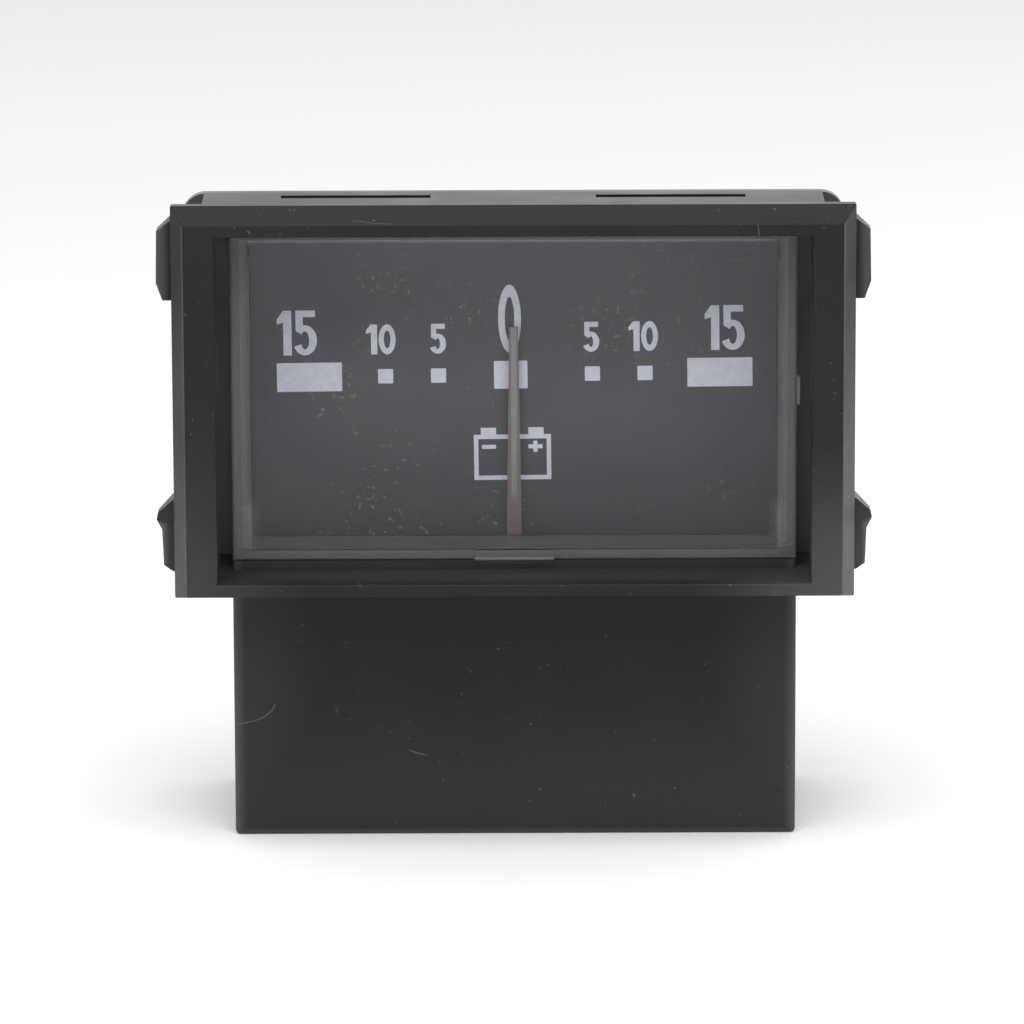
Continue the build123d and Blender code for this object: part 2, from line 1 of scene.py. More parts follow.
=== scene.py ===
# %% [markdown]
# # A panel gauge, finished around its engineering model
#
# The gauge shows the charge or discharge current of a battery. A bevelled black frame snaps into a
# panel. Behind it sits a clear box-shaped lens, a matt dial with a pointer, and a black housing that
# hangs lower than the frame. The engineering model already has every solid piece in its right place,
# so this lesson adds what a camera would see: the printing on the dial, the finish of each material,
# the light and the view.

# %% Load the engineering model
import json
import math

import bmesh
import bpy
from mathutils import Matrix, Vector


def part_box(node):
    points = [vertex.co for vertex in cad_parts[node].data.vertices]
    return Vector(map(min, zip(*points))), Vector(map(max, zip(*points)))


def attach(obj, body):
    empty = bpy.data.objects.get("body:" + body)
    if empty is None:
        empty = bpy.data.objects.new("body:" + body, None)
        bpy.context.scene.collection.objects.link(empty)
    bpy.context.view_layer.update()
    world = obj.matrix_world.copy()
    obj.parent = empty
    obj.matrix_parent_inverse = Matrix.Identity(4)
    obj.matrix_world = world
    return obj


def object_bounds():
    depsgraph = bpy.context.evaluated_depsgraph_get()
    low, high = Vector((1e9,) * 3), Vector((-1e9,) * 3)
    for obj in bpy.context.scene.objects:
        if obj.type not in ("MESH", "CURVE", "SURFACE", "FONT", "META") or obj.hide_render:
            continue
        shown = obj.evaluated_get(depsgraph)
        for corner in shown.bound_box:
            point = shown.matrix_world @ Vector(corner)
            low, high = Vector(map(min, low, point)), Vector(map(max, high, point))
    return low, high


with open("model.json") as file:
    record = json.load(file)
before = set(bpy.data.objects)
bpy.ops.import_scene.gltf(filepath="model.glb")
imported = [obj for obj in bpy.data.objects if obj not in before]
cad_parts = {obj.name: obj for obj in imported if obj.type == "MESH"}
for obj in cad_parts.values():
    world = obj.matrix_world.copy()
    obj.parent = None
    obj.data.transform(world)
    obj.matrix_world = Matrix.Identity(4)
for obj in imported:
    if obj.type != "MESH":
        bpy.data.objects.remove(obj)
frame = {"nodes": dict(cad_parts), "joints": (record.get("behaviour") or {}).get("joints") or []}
cad_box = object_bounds()
MM = 0.001

# %% [markdown]
# Everything is placed from a few landmarks of the model. The pointer's joint gives the spindle, and
# the boxes of the dial, the frame and the lens give the planes that face the viewer.

# %% Landmarks
pointer_joint = next(joint for joint in frame["joints"] if joint["name"] == "pointer_swing")
spindle_at = Vector(pointer_joint["pos_m"])
dial_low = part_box("dial_plate")[0]
frame_low, frame_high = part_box("front_frame")
lens_low, lens_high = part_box("lens")
print("spindle", [round(v / MM, 2) for v in spindle_at])

# %% [markdown]
# ## Finishes
#
# A material in this lesson is a small graph of nodes. A few helpers keep the graphs short: one adds a
# node and sets its values, one gives coordinates in metres on the piece, one turns a noise into a
# mask with a soft edge, and the others do sums, mix colours and make a bump. Object coordinates are
# used throughout, because every piece sits at the origin, so one metre of pattern is one metre of
# plastic.

# %% Helpers for node graphs
def add_node(material, kind, **values):
    """Add a node; a value goes to the input or the property of that name."""
    node = material.node_tree.nodes.new("ShaderNode" + kind)
    for key, value in values.items():
        socket = node.inputs.get(key.replace("_", " "))
        if socket is not None:
            socket.default_value = value
        else:
            setattr(node, key, value)
    return node


def wire(material, source, target):
    material.node_tree.links.new(source, target)


def new_material(name):
    """An empty material with its output node."""
    material = bpy.data.materials.new(name)
    material.use_nodes = True
    material.node_tree.nodes.clear()
    output = add_node(material, "OutputMaterial")
    return material, output


def show(material, shader, output):
    """Send a finished shader to the material's output."""
    wire(material, shader.outputs["BSDF"], output.inputs["Surface"])


def placed_coordinates(material, scale=(1, 1, 1), turn=(0, 0, 0)):
    """Object coordinates, stretched and turned for a pattern."""
    coordinates = add_node(material, "TexCoord")
    mapping = add_node(material, "Mapping")
    mapping.inputs["Scale"].default_value = scale
    mapping.inputs["Rotation"].default_value = turn
    wire(material, coordinates.outputs["Object"], mapping.inputs["Vector"])
    return mapping.outputs["Vector"]


def noise(material, per_metre, detail=4.0, rough=0.6, scale=(1, 1, 1), turn=(0, 0, 0)):
    """Noise with that many features to the metre."""
    node = add_node(material, "TexNoise", Scale=per_metre, Detail=detail, Roughness=rough)
    wire(material, placed_coordinates(material, scale, turn), node.inputs["Vector"])
    return node.outputs["Fac"]


def ranged(material, source, low, high, to_low=0.0, to_high=1.0):
    """Map a value from one range to another, smoothly, and hold it at the ends."""
    node = add_node(material, "MapRange", interpolation_type="SMOOTHSTEP")
    for key, value in (("From Min", low), ("From Max", high), ("To Min", to_low), ("To Max", to_high)):
        node.inputs[key].default_value = value
    wire(material, source, node.inputs["Value"])
    return node.outputs["Result"]


def maths(material, operation, first, second):
    """One Math node; either side may be a number or a socket."""
    node = add_node(material, "Math", operation=operation)
    for index, value in enumerate((first, second)):
        if isinstance(value, (int, float)):
            node.inputs[index].default_value = value
        else:
            wire(material, value, node.inputs[index])
    return node.outputs["Value"]


def blended(material, amount, first, second):
    """Mix two colours by a mask."""
    node = add_node(material, "Mix", data_type="RGBA")
    wire(material, amount, node.inputs["Factor"])
    for index, colour in ((6, first), (7, second)):
        if isinstance(colour, tuple):
            node.inputs[index].default_value = (*colour, 1.0)
        else:
            wire(material, colour, node.inputs[index])
    return node.outputs[2]


def bumped(material, height, depth, strength=1.0, under=None):
    """Bump from a height, whose full range is that many metres deep."""
    node = add_node(material, "Bump", Strength=strength, Distance=depth)
    wire(material, height, node.inputs["Height"])
    if under is not None:
        wire(material, under, node.inputs["Normal"])
    return node.outputs["Normal"]


print("node helpers ready")

# %% [markdown]
# ### Moulded black plastic
#
# The frame, the catches, the housing and the cover are moulded. Such a surface has a fine spark-eroded
# grain, a slow drift in its gloss from the flow of the melt, a few curved hairline scratches, and a
# little pale dust that settles mostly on what faces up. Each is a noise at its own scale. A hairline
# is the contour of a slow noise, kept only where a second noise is high.

# %% Dust and hairline masks
def facing_up(material, low=0.1, high=0.9):
    """How far the surface looks up."""
    split = add_node(material, "SeparateXYZ")
    wire(material, add_node(material, "NewGeometry").outputs["Normal"], split.inputs["Vector"])
    return ranged(material, split.outputs["Z"], low, high)


def dust_mask(material, amount, rarity=0.70):
    """Small pale specks in patches, twice as thick on faces that look up."""
    specks = ranged(material, noise(material, 2100, 2.0, 0.5), rarity, rarity + 0.06)
    patches = ranged(material, noise(material, 110, 3.0), 0.42, 0.72, 0.05, 1.0)
    thicker = maths(material, "MULTIPLY_ADD", facing_up(material), 0.5)
    thicker.node.inputs[2].default_value = 0.5
    mask = maths(material, "MULTIPLY", specks, patches)
    return maths(material, "MULTIPLY", maths(material, "MULTIPLY", mask, thicker), amount)


def hairline_mask(material, amount):
    """Thin curved scratches, a few to the square centimetre."""
    contour = maths(material, "SUBTRACT", noise(material, 55, 1.0, 0.4), 0.5)
    line = ranged(material, maths(material, "ABSOLUTE", contour, 0.0), 0.0025, 0.0008)
    where = ranged(material, noise(material, 150, 1.0, 0.3, turn=(0.4, 1.1, 0.2)), 0.66, 0.70, 0.0, amount)
    return maths(material, "MULTIPLY", line, where)


def along(material, axis):
    """One object coordinate, in metres."""
    split = add_node(material, "SeparateXYZ")
    wire(material, placed_coordinates(material), split.inputs["Vector"])
    return split.outputs[axis]


print("dust and hairlines ready")

# %% Moulded plastic
PLASTIC_SPECULAR = 0.15
# Colour of the painted reflection and painted light on moulded black.
PAINTED_LIGHT_PLASTIC = (0.075, 0.074, 0.076)
# Colour of the paler flats along the top.
TOP_PALE = (0.13, 0.13, 0.13)
SCRATCH = (0.2, 0.2, 0.2)
DUST = (0.30, 0.29, 0.28)


def moulded_plastic(name, colour, gloss, dust=0.5, grain=0.000004, pale=None):
    """Black moulding with grain, gloss drift, hairlines and dust; pale(material) masks painted reflection
    and painted light.
    """
    material, output = new_material(name)
    shader = add_node(material, "BsdfPrincipled")
    shader.inputs["Specular IOR Level"].default_value = PLASTIC_SPECULAR
    drift = noise(material, 60, 3.0)
    tint = tuple(channel * 1.25 for channel in colour)
    base = blended(material, ranged(material, drift, 0.3, 0.7), colour, tint)
    if pale:
        # Painted reflection and painted light, where the pale mask is high.
        base = blended(material, pale(material), base, PAINTED_LIGHT_PLASTIC)
    # Flats that look up, near the height of the frame's top, are paler, less so towards the right.
    high = ranged(material, along(material, "Z"), frame_high.z - 4 * MM, frame_high.z - 2 * MM, 0.0, 0.25)
    pale_layer = maths(material, "MULTIPLY", facing_up(material, 0.95, 0.99), high)
    less_to_right = ranged(material, along(material, "X"), -5 * MM, 32 * MM, 1.0, 0.78)
    pale_layer = maths(material, "MULTIPLY", pale_layer, less_to_right)
    base = blended(material, pale_layer, base, TOP_PALE)
    base = blended(material, hairline_mask(material, 0.3), base, SCRATCH)
    base = blended(material, dust_mask(material, dust), base, DUST)
    wire(material, base, shader.inputs["Base Color"])
    rough = ranged(material, drift, 0.3, 0.7, gloss - 0.05, gloss + 0.06)
    wire(material, rough, shader.inputs["Roughness"])
    normal = bumped(material, noise(material, 5200, 3.0), grain)
    wire(material, normal, shader.inputs["Normal"])
    show(material, shader, output)
    return material, shader, normal


print("moulded plastic ready")

# %% [markdown]
# Some places differ from the rest. On the frame the lower corners are painted paler, more on the right:
# painted reflection of the bright floor, as their bevels would mirror it. The outer faces of the catches
# get the same painted reflection, but the wedge of a lower catch is left out and stays black, as it is
# in shade. Deeper in the recess the frame is painted paler too, painted light that lifts its shade. The
# side bevels are rougher towards the top, which makes them reflect less there. All are masks made from
# object coordinates, which say how far out a point is, how low, and how deep, and from the direction
# that the surface faces.

# %% Masks for the frame
frame_half = frame_high.x
middle_height = (frame_low.z + frame_high.z) / 2
nose_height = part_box("catch_lower_left")[1].z - 2.1 * MM
# Strengths of the painted reflection at the right and left corners and on the catches, and of the painted
# light in the recess.
RIGHT_PALE, LEFT_PALE, CATCH_REFLECTION, RECESS_PAINTED_LIGHT = 0.75, 0.42, 0.9, 0.25


def frame_painted_light(material):
    """Painted reflection rising towards the lower corners, more on the right, and on the catches; painted
    light deeper in the recess.
    """
    across = along(material, "X")
    out = maths(material, "ABSOLUTE", across, 0.0)
    low = ranged(material, along(material, "Z"), 45 * MM, frame_low.z)
    right = ranged(material, across, frame_high.x - 18 * MM, frame_high.x, 0.0, RIGHT_PALE)
    left = ranged(material, across, frame_low.x + 14 * MM, frame_low.x, 0.0, LEFT_PALE)
    # Painted reflection: the lower corners are paler, more on the right, as their bevels would mirror the
    # bright floor.
    corners = maths(material, "MULTIPLY", low, maths(material, "MAXIMUM", left, right))
    # Painted reflection on the outer faces of the catches; the wedge of a lower catch is left out and
    # stays black, as it is in shade.
    catches = ranged(material, out, frame_half, frame_half + 1.3 * MM, 0.0, CATCH_REFLECTION)
    upper = ranged(material, along(material, "Z"), middle_height - MM, middle_height)
    body = maths(material, "MAXIMUM", upper, below_nose(material))
    catches = maths(material, "MULTIPLY", catches, body)
    # Painted light deeper in the recess, which lifts its shade.
    between = ranged(material, out, frame_half - 1.4 * MM, frame_half - 1.8 * MM)
    deep = along(material, "Y")
    deep = ranged(material, deep, frame_low.y + 0.4 * MM, frame_low.y + 4 * MM, 0.0, RECESS_PAINTED_LIGHT)
    recess = maths(material, "MULTIPLY", between, deep)
    painted_reflection = maths(material, "MAXIMUM", corners, catches)
    return maths(material, "MAXIMUM", painted_reflection, maths(material, "MULTIPLY", recess, below_top(material)))


def below_nose(material):
    """The part of a lower catch under its wedge."""
    return ranged(material, along(material, "Z"), nose_height, nose_height - 0.8 * MM)


def below_top(material):
    """Leaves out the top wall and the bevel above the opening."""
    return ranged(material, along(material, "Z"), frame_high.z - 2.0 * MM, frame_high.z - 2.8 * MM)


def facing_sideways(material):
    """How far the surface looks left or right."""
    split = add_node(material, "SeparateXYZ")
    wire(material, add_node(material, "NewGeometry").outputs["Normal"], split.inputs["Vector"])
    return ranged(material, maths(material, "ABSOLUTE", split.outputs["X"], 0.0), 0.5, 0.8)


print("frame reaches", round(frame_half / MM, 2), "mm out; catch noses at", round(nose_height / MM, 2))

# %% Frame and cover plastic
BEVEL_INSIDE, BEVEL_OUTSIDE = 1.35 * MM, 1.15 * MM
LEFT_BEVEL_WEAR, BEVEL_WEAR = 0.1, 0.2
# Colour of the painted reflection on the bodies of the lower catches.
CATCH_SHEEN_PLASTIC = (0.145, 0.135, 0.138)
frame_black, frame_shader, _ = moulded_plastic(
    "frame_black", (0.0125, 0.0125, 0.0130), 0.38, 0.8, pale=frame_painted_light
)
gloss = frame_shader.inputs["Roughness"].links[0].from_socket
side = along(frame_black, "X")
left_edges = (frame_low.x + BEVEL_INSIDE, frame_low.x + BEVEL_OUTSIDE)
left_bevel = ranged(frame_black, side, *left_edges, 0.0, LEFT_BEVEL_WEAR)
out = maths(frame_black, "ABSOLUTE", side, 0.0)
both = ranged(frame_black, out, frame_half - BEVEL_INSIDE, frame_half - BEVEL_OUTSIDE)
high = ranged(frame_black, along(frame_black, "Z"), 46 * MM, 60 * MM, 0.0, BEVEL_WEAR)
bevels = maths(frame_black, "ADD", left_bevel, maths(frame_black, "MULTIPLY", both, high))
bevels = maths(frame_black, "MULTIPLY", bevels, facing_sideways(frame_black))
wire(frame_black, maths(frame_black, "ADD", gloss, bevels), frame_shader.inputs["Roughness"])
clean = frame_shader.inputs["Base Color"].links[0].from_socket
# Painted reflection on the outer face of each lower catch's body, below its wedge.
catch_sheen = ranged(frame_black, out, frame_half + 0.7 * MM, frame_half + 1.7 * MM)
catch_sheen = maths(frame_black, "MULTIPLY", catch_sheen, below_nose(frame_black))
catch_sheen = blended(frame_black, catch_sheen, clean, CATCH_SHEEN_PLASTIC)
wire(frame_black, catch_sheen, frame_shader.inputs["Base Color"])
cover_black, _, _ = moulded_plastic("cover_black", (0.018, 0.018, 0.019), 0.42, 0.7)
print("moulded blacks:", frame_black.name, cover_black.name)

# %% [markdown]
# On the housing the two sides and the bottom are painted paler, with a painted highlight along each
# edge: painted reflection, which leaves the top of the front darker, as if in the frame's shade. The
# housing is also paler from just above the frame's lower edge up, and the flange seen beside the lens
# is painted paler, painted light that lifts its shade. The housing's front has a shallow round sink,
# where the melt shrank over the thick boss that holds the front bearing. That is a distance from the
# spindle's axis, turned into a smooth dimple that is added to the grain.

# %% Masks for the housing
# Colour of the painted light on the flange in the gap beside the lens.
GAP_PAINTED_LIGHT = (0.13, 0.13, 0.132)
SINK_INSIDE, SINK_OUTSIDE, SINK_DEPTH = 3.4 * MM, 5.8 * MM, 0.06 * MM
# Strengths of the painted reflection to the sides and the bottom, of the paler part above the frame's
# lower edge, and of the painted highlights along the edges and the foot.
WIDE_SHEEN, UNDER_LENS_PALE, EDGE_HIGHLIGHT, FOOT_HIGHLIGHT = 0.16, 0.35, 0.75, 0.5


def distance_from(material, point, flatten=(1, 1, 1)):
    """Distance of the surface from a point, with axes left out where flatten is 0."""
    offset = add_node(material, "VectorMath", operation="SUBTRACT")
    wire(material, placed_coordinates(material), offset.inputs[0])
    offset.inputs[1].default_value = point
    keep = add_node(material, "VectorMath", operation="MULTIPLY")
    wire(material, offset.outputs["Vector"], keep.inputs[0])
    keep.inputs[1].default_value = flatten
    length = add_node(material, "VectorMath", operation="LENGTH")
    wire(material, keep.outputs["Vector"], length.inputs[0])
    return length.outputs["Value"]


def housing_painted_sheen(material):
    """Painted reflection rising softly to the sides and the bottom, with a narrow painted highlight at the
    very edge, and paler above the frame's lower edge.
    """
    out = maths(material, "ABSOLUTE", along(material, "X"), 0.0)
    height = along(material, "Z")
    half = lens_high.x
    # Painted reflection: paler to the sides and the bottom, so the top of the front stays darker, as if in
    # the frame's shade.
    wide = maths(
        material, "MAXIMUM",
        ranged(material, out, half - 11 * MM, half - 1 * MM, 0.0, WIDE_SHEEN),
        ranged(material, height, 17 * MM, 1 * MM, 0.0, WIDE_SHEEN),
    )
    foot = frame_low.z
    # Paler from just above the frame's lower edge up.
    under_lens = ranged(material, height, foot + 1.4 * MM, foot + 2 * MM, 0.0, UNDER_LENS_PALE)
    wide = maths(material, "MAXIMUM", wide, under_lens)
    # Painted highlights along the side edges and the foot.
    narrow = maths(
        material, "MAXIMUM",
        ranged(material, out, half - 1.7 * MM, half - 0.2 * MM, 0.0, EDGE_HIGHLIGHT),
        ranged(material, height, 0.8 * MM, 0.1 * MM, 0.0, FOOT_HIGHLIGHT),
    )
    return maths(material, "MINIMUM", maths(material, "ADD", wide, narrow), 1.0)


def gap_painted_light(material):
    """Painted light on the flange, as far as it can be seen through the opening beside the lens."""
    depth, height = along(material, "Y"), along(material, "Z")
    front = ranged(material, depth, lens_high.y - 0.4 * MM, lens_high.y - 0.5 * MM)
    behind = ranged(material, depth, lens_low.y + 2 * MM, lens_low.y + 5 * MM)
    above = ranged(material, height, frame_low.z + 1.4 * MM, frame_low.z + 2 * MM)
    below = ranged(material, height, frame_high.z - 2.4 * MM, frame_high.z - 2.8 * MM)
    reach = maths(material, "MULTIPLY", front, behind)
    return maths(material, "MULTIPLY", reach, maths(material, "MULTIPLY", above, below))


print("housing is", round((lens_high.x - lens_low.x) / MM, 2), "mm wide behind the lens")

# %% Housing plastic with its sink mark
housing_black, housing_shader, housing_normal = moulded_plastic(
    "housing_black", (0.0122, 0.0127, 0.0127), 0.32, 0.6, pale=housing_painted_sheen
)
clean = housing_shader.inputs["Base Color"].links[0].from_socket
# Painted light lifts the shade on the flange in the gap beside the lens.
gap_lit = blended(housing_black, gap_painted_light(housing_black), clean, GAP_PAINTED_LIGHT)
wire(housing_black, gap_lit, housing_shader.inputs["Base Color"])
radius = distance_from(housing_black, spindle_at, (1, 0, 1))
dimple = ranged(housing_black, radius, SINK_INSIDE, SINK_OUTSIDE)
sunk = bumped(housing_black, dimple, SINK_DEPTH, under=housing_normal)
wire(housing_black, sunk, housing_shader.inputs["Normal"])
print("sink mark around", [round(v / MM, 1) for v in spindle_at])

# %% [markdown]
# ### Dial, printing and pointer
#
# The dial is sprayed matt, so it is nearly free of gloss, with a fine tooth, a few specks and thin
# wipe marks. It darkens a little towards its lower edge, and its head is painted lighter, painted light
# against the shade of the frame's top. The printing is a thin pad-printed ink, a little bluish, with a
# tone that is not quite even.

# %% Matt dial paint
DIAL_DARK, DIAL_LIGHT = (0.065, 0.064, 0.073), (0.075, 0.074, 0.083)
# The lighter head colour is painted light against the shade of the frame's top.
DIAL_FOOT, DIAL_HEAD_PAINTED_LIGHT = (0.034, 0.034, 0.036), (0.112, 0.111, 0.123)
DIAL_WIPE, DIAL_SPECK = (0.22, 0.22, 0.22), (0.24, 0.18, 0.165)


def dial_paint():
    """Matt black, darker at the foot, with painted light at the head against the frame's shade, and with
    wipe marks and specks.
    """
    material, output = new_material("dial_matt")
    shader = add_node(material, "BsdfPrincipled", Roughness=0.7)
    shader.inputs["Specular IOR Level"].default_value = 0.2
    cloud = ranged(material, noise(material, 45, 3.0), 0.3, 0.7)
    base = blended(material, cloud, DIAL_DARK, DIAL_LIGHT)
    height = along(material, "Z")
    low = ranged(material, height, 42 * MM, 31 * MM, 0.0, 0.45)
    base = blended(material, low, base, DIAL_FOOT)
    # Painted light: the head is lighter, against the shade of the frame's top.
    high = ranged(material, height, 50 * MM, 63 * MM)
    base = blended(material, high, base, DIAL_HEAD_PAINTED_LIGHT)
    base = blended(material, hairline_mask(material, 0.2), base, DIAL_WIPE)
    base = blended(material, dust_mask(material, 1.6, 0.62), base, DIAL_SPECK)
    wire(material, base, shader.inputs["Base Color"])
    wire(material, bumped(material, noise(material, 7000, 2.0), 0.000003), shader.inputs["Normal"])
    show(material, shader, output)
    return material


dial_matt = dial_paint()
print("dial paint:", len(dial_matt.node_tree.nodes), "nodes")

# %% Printing ink
INK_THIN, INK_FULL = (0.64, 0.66, 0.74), (0.74, 0.755, 0.83)


def printing_ink():
    """Pale ink whose density drifts a little."""
    material, output = new_material("printing_ink")
    shader = add_node(material, "BsdfPrincipled", Roughness=0.6)
    density = ranged(material, noise(material, 1500, 3.0, 0.7), 0.3, 0.7)
    base = blended(material, density, INK_THIN, INK_FULL)
    wire(material, base, shader.inputs["Base Color"])
    wire(material, bumped(material, noise(material, 4000, 2.0), 0.000004), shader.inputs["Normal"])
    show(material, shader, output)
    return material


ink = printing_ink()
print("ink:", ink.name)

# %% [markdown]
# The pointer is a strip of satin metal under a thin warm lacquer. The lacquer has worn off along the
# middle of the front, so a paler streak runs down it, and it is thickest near the foot.

# %% Pointer lacquer
WORN_DARK, WORN_LIGHT = (0.205, 0.197, 0.199), (0.255, 0.245, 0.247)
LACQUER = (0.160, 0.120, 0.122)


def pointer_lacquer():
    """Warm lacquer at the edges and the foot, worn metal along the middle."""
    material, output = new_material("pointer_lacquer")
    shader = add_node(material, "BsdfPrincipled", Roughness=0.5, Metallic=0.15)
    grain = noise(material, 900, 3.0, scale=(6, 6, 0.5))
    worn = blended(material, ranged(material, grain, 0.3, 0.7), WORN_DARK, WORN_LIGHT)
    out = maths(material, "ABSOLUTE", along(material, "X"), 0.0)
    edge = ranged(material, out, 0.24 * MM, 0.36 * MM)
    foot = ranged(material, along(material, "Z"), 34.5 * MM, 33.2 * MM)
    lacquer = maths(material, "MAXIMUM", edge, foot)
    base = blended(material, lacquer, worn, LACQUER)
    wire(material, base, shader.inputs["Base Color"])
    wire(material, bumped(material, grain, 0.000004), shader.inputs["Normal"])
    show(material, shader, output)
    return material


pointer_metal = pointer_lacquer()
print("pointer:", pointer_metal.name)

# %% [markdown]
# The rest is metal: zinc-plated screws and spacers, a steel spindle and bracket, turned brass, a copper
# strap, tinned terminals and the dark sintered magnets. Each is a real metal colour with blotches of a
# darker tarnish. What tells them apart at a glance is the grain, so one noise drives both the gloss
# and a fine bump, stretched along the way the metal was rolled or turned.

# %% Metals
def metal(name, colour, darker, gloss, metallic=1.0, grain_scale=(1, 1, 1), per_metre=900, depth=0.000004):
    """Metal with a directional grain, blotches of tarnish and uneven gloss."""
    material, output = new_material(name)
    shader = add_node(material, "BsdfPrincipled", Metallic=metallic)
    grain = noise(material, per_metre, 4.0, 0.6, scale=grain_scale)
    tarnish = ranged(material, noise(material, 260, 4.0), 0.35, 0.7)
    base = blended(material, tarnish, colour, darker)
    wire(material, base, shader.inputs["Base Color"])
    rough = ranged(material, grain, 0.3, 0.7, gloss - 0.08, gloss + 0.1)
    wire(material, rough, shader.inputs["Roughness"])
    wire(material, bumped(material, grain, depth), shader.inputs["Normal"])
    show(material, shader, output)
    return material


zinc = metal("zinc_plate", (0.62, 0.63, 0.66), (0.45, 0.46, 0.48), 0.34)
rolled_steel = metal("rolled_steel", (0.50, 0.51, 0.53), (0.36, 0.36, 0.37), 0.38, 1.0, (0.5, 6, 6))
turned_brass = metal("turned_brass", (0.70, 0.52, 0.26), (0.48, 0.34, 0.16), 0.32, 1.0, (6, 0.5, 6))
rolled_copper = metal("rolled_copper", (0.74, 0.40, 0.27), (0.46, 0.24, 0.17), 0.36, 1.0, (0.5, 6, 6))
tinned = metal("tin_plate", (0.70, 0.70, 0.69), (0.52, 0.52, 0.51), 0.30, 1.0, (6, 0.6, 6))
sintered = metal("sintered_magnet", (0.12, 0.12, 0.125), (0.07, 0.07, 0.072), 0.55, 0.6, (1, 1, 1), 3000)
print("six metals")

# %% [markdown]
# ### Clear lens
#
# The lens is a clear moulding. Bending the light through it would keep the studio light off the dial,
# because light that reaches the dial through a refracting wall is rarely found. So the wall lets light
# straight through, with a Fresnel share of mirror reflection and a faint veil of dust and haze. Seen
# end on, its side walls and its floor catch light along their whole length, so they carry more veil.

# %% Veil on the lens
LENS_WALL = 1.0 * MM
SIDE_VEIL, LOW_VEIL = 0.18, 0.195


def lens_veil(material):
    """Share of haze: a little everywhere, more in the four walls and on the floor's upper side."""
    wall, half, lens_foot = LENS_WALL, -lens_low.x, lens_low.z + 0.3 * MM
    out = maths(material, "ABSOLUTE", along(material, "X"), 0.0)
    height = along(material, "Z")
    side = ranged(material, out, half - 1.2 * wall, half - 0.98 * wall, 0.0, SIDE_VEIL)
    # More veil just inside each side wall, which paints light over a dark line there.
    inside_wall_lift = ranged(material, out, half - 2.02 * wall, half - 1.92 * wall, 0.0, 0.5 * SIDE_VEIL)
    side = maths(material, "MAXIMUM", side, inside_wall_lift)
    low = ranged(material, height, lens_foot + 1.2 * wall, lens_foot + 1.02 * wall, 0.0, LOW_VEIL)
    high = ranged(material, height, lens_high.z - 1.2 * wall, lens_high.z - 0.98 * wall, 0.0, SIDE_VEIL)
    walls = maths(material, "MAXIMUM", side, maths(material, "MAXIMUM", low, high))
    above_lug = ranged(material, height, lens_foot, lens_foot + 0.15 * wall)
    walls = maths(material, "MULTIPLY", walls, above_lug)
    haze = ranged(material, noise(material, 120, 3.0), 0.35, 0.75, 0.010, 0.018)
    veil = maths(material, "ADD", haze, walls)
    return maths(material, "ADD", veil, dust_mask(material, 0.35))


print("veil in the side walls", SIDE_VEIL, "and in the floor", LOW_VEIL)

# %% Clear plastic
def clear_plastic():
    """See-through with a Fresnel share of mirror, and a pale film where the veil is."""
    material, output = new_material("clear_lens")
    through = add_node(material, "BsdfTransparent", Color=(0.985, 0.987, 0.99, 1.0))
    mirror = add_node(material, "BsdfGlossy", Roughness=0.05)
    fresnel = add_node(material, "Fresnel", IOR=1.25)
    clear = add_node(material, "MixShader")
    wire(material, fresnel.outputs["Fac"], clear.inputs["Fac"])
    wire(material, through.outputs["BSDF"], clear.inputs[1])
    wire(material, mirror.outputs["BSDF"], clear.inputs[2])
    pale_layer = add_node(material, "BsdfDiffuse", Color=(0.55, 0.56, 0.58, 1.0))
    wiped = add_node(material, "MixShader")
    wire(material, lens_veil(material), wiped.inputs["Fac"])
    wire(material, clear.outputs["Shader"], wiped.inputs[1])
    wire(material, pale_layer.outputs["BSDF"], wiped.inputs[2])
    wire(material, wiped.outputs["Shader"], output.inputs["Surface"])
    return material


clear_lens = clear_plastic()
print("lens:", clear_lens.name)

# %% [markdown]
# ## Finish the pieces of the model
#
# Each piece of the engineering model keeps its mesh and gets the finish of its real counterpart.

# %% Give every node its finish
finishes = {
    "front_frame": frame_black,
    "catch_upper_left": frame_black,
    "catch_upper_right": frame_black,
    "catch_lower_left": frame_black,
    "catch_lower_right": frame_black,
    "housing": housing_black,
    "rear_cover": cover_black,
    "lens": clear_lens,
    "dial_plate": dial_matt,
    "pointer_blade": pointer_metal,
    "pointer_hub": cover_black,
    "strap_carrier": cover_black,
    "balance_weight": turned_brass,
    "front_bearing": turned_brass,
    "rear_bearing": turned_brass,
    "pillars": turned_brass,
    "pointer_stops": turned_brass,
    "terminal_rivets": turned_brass,
    "current_strap": rolled_copper,
    "terminal_left": tinned,
    "terminal_right": tinned,
    "cover_screws": zinc,
    "dial_screws": zinc,
    "bracket_screws": zinc,
    "pillar_screws": zinc,
    "dial_spacers": zinc,
    "spindle": rolled_steel,
    "movement_bracket": rolled_steel,
    "armature": sintered,
    "control_magnet": sintered,
}
for name, node in frame["nodes"].items():
    for place in node.material_slots:
        place.material = finishes[name]
print("finished", len(finishes), "of", len(frame["nodes"]))

# %% [markdown]
# ## Printing on the dial
#
# The ink is about five hundredths of a millimetre proud of the dial. Each mark starts as a flat
# outline in millimetres about the spindle, and a shared helper gives it thickness, stands it up on the
# dial and lets it ride with the gauge. The real print lies about half a degree out of square, as pad
# printing often does, so one matrix places every mark.

# %% Place a flat outline on the dial
INK = 0.05 * MM
PRINT_TILT = math.radians(-0.55)
row_middle = spindle_at.z + 30 * MM
stand_up = Matrix.Rotation(math.pi / 2, 4, "X")
turn_print = Matrix.Rotation(PRINT_TILT, 4, "Y")
to_dial = Matrix.Translation((spindle_at.x, dial_low.y, row_middle)) @ turn_print @ stand_up


